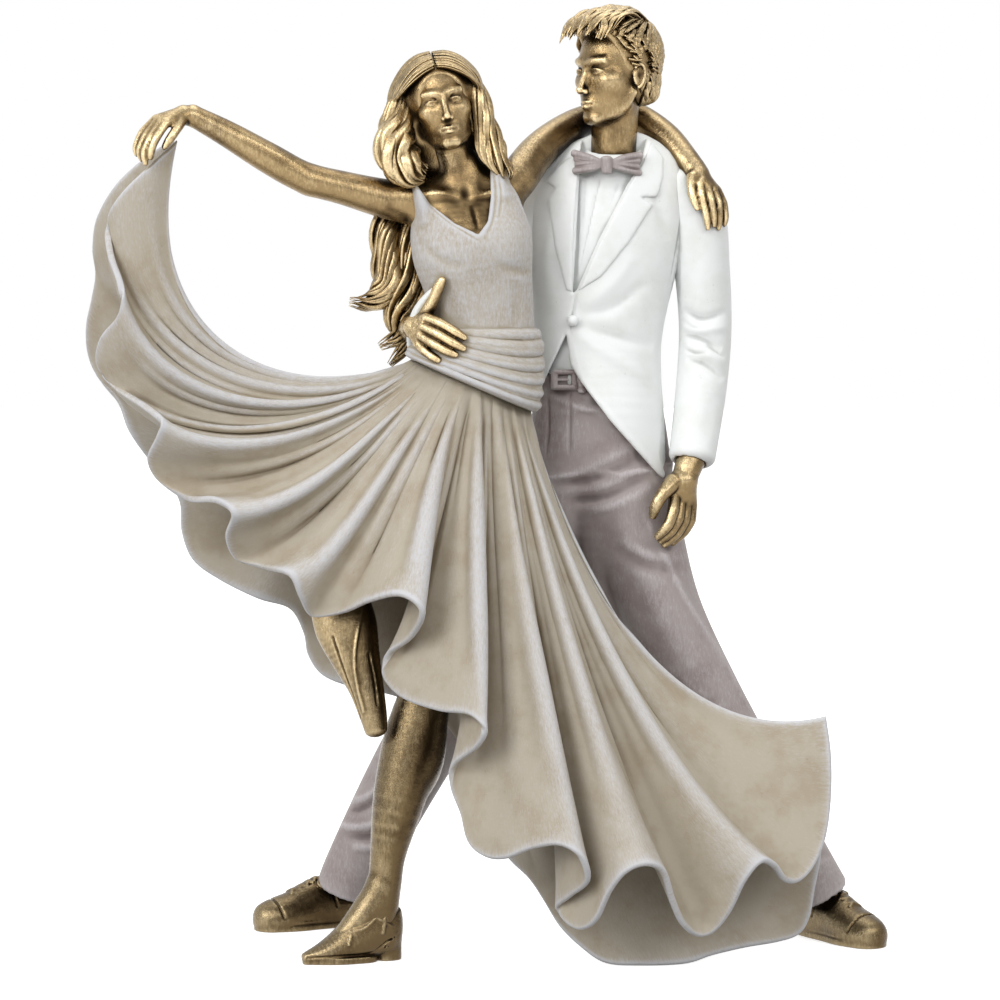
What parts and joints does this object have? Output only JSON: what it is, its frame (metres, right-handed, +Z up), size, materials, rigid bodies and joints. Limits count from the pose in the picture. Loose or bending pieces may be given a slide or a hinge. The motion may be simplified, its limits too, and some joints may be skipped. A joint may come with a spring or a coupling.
{
  "type": "wedding couple figurine",
  "caption": "Cast resin wedding couple: groom in white jacket holding a dancing bride who lifts her long flared skirt, antique gold skin.",
  "frame": {"origin": "on the floor, under the middle of the figure's bounding box", "axes": "+Z up through the couple, -Y the way the couple faces, +X towards the groom's left shoe"},
  "size_m": [0.2424, 0.114, 0.2856],
  "materials": {
    "antique_gold": "resin painted antique gold, worn bright on the ridges and dark brown in the hollows",
    "dress_resin": "resin painted warm beige, dry-brushed silvery white on the folds",
    "ivory_resin": "resin painted warm white with faint grey in the creases",
    "mauve_resin": "resin painted mauve grey, dry-brushed lighter on the folds"
  },
  "bodies": {
    "root": {"groom_head": "antique_gold", "groom_hair": "antique_gold", "groom_shirt": "ivory_resin", "bow_tie": "mauve_resin", "groom_left_shoe": "antique_gold", "groom_right_shoe": "antique_gold", "groom_trousers": "mauve_resin", "groom_belt": "mauve_resin", "belt_buckle": "mauve_resin", "groom_jacket": "ivory_resin", "jacket_left_lapel": "ivory_resin", "jacket_right_lapel": "ivory_resin", "jacket_button": "ivory_resin", "groom_left_hand": "antique_gold", "jacket_left_sleeve": "ivory_resin", "bride_chest": "antique_gold", "bride_head": "antique_gold", "bride_right_hand": "antique_gold", "bride_left_hand": "antique_gold", "bride_right_arm": "antique_gold", "bride_left_arm": "antique_gold", "groom_right_hand": "antique_gold", "bride_bodice": "dress_resin", "bride_sash": "dress_resin", "jacket_right_sleeve": "ivory_resin", "bride_standing_shoe": "antique_gold", "bride_standing_leg": "antique_gold", "bride_raised_shoe": "antique_gold", "bride_raised_leg": "antique_gold", "skirt_front": "dress_resin", "skirt_back": "dress_resin", "bride_hair_crown": "antique_gold", "bride_hair_lock_right_shoulder": "antique_gold", "bride_hair_lock_left_shoulder": "antique_gold", "bride_hair_wave_outer": "antique_gold", "bride_hair_wave_middle": "antique_gold", "bride_hair_wave_inner": "antique_gold", "bride_hair_wave_nape": "antique_gold"}
  },
  "joints": []
}
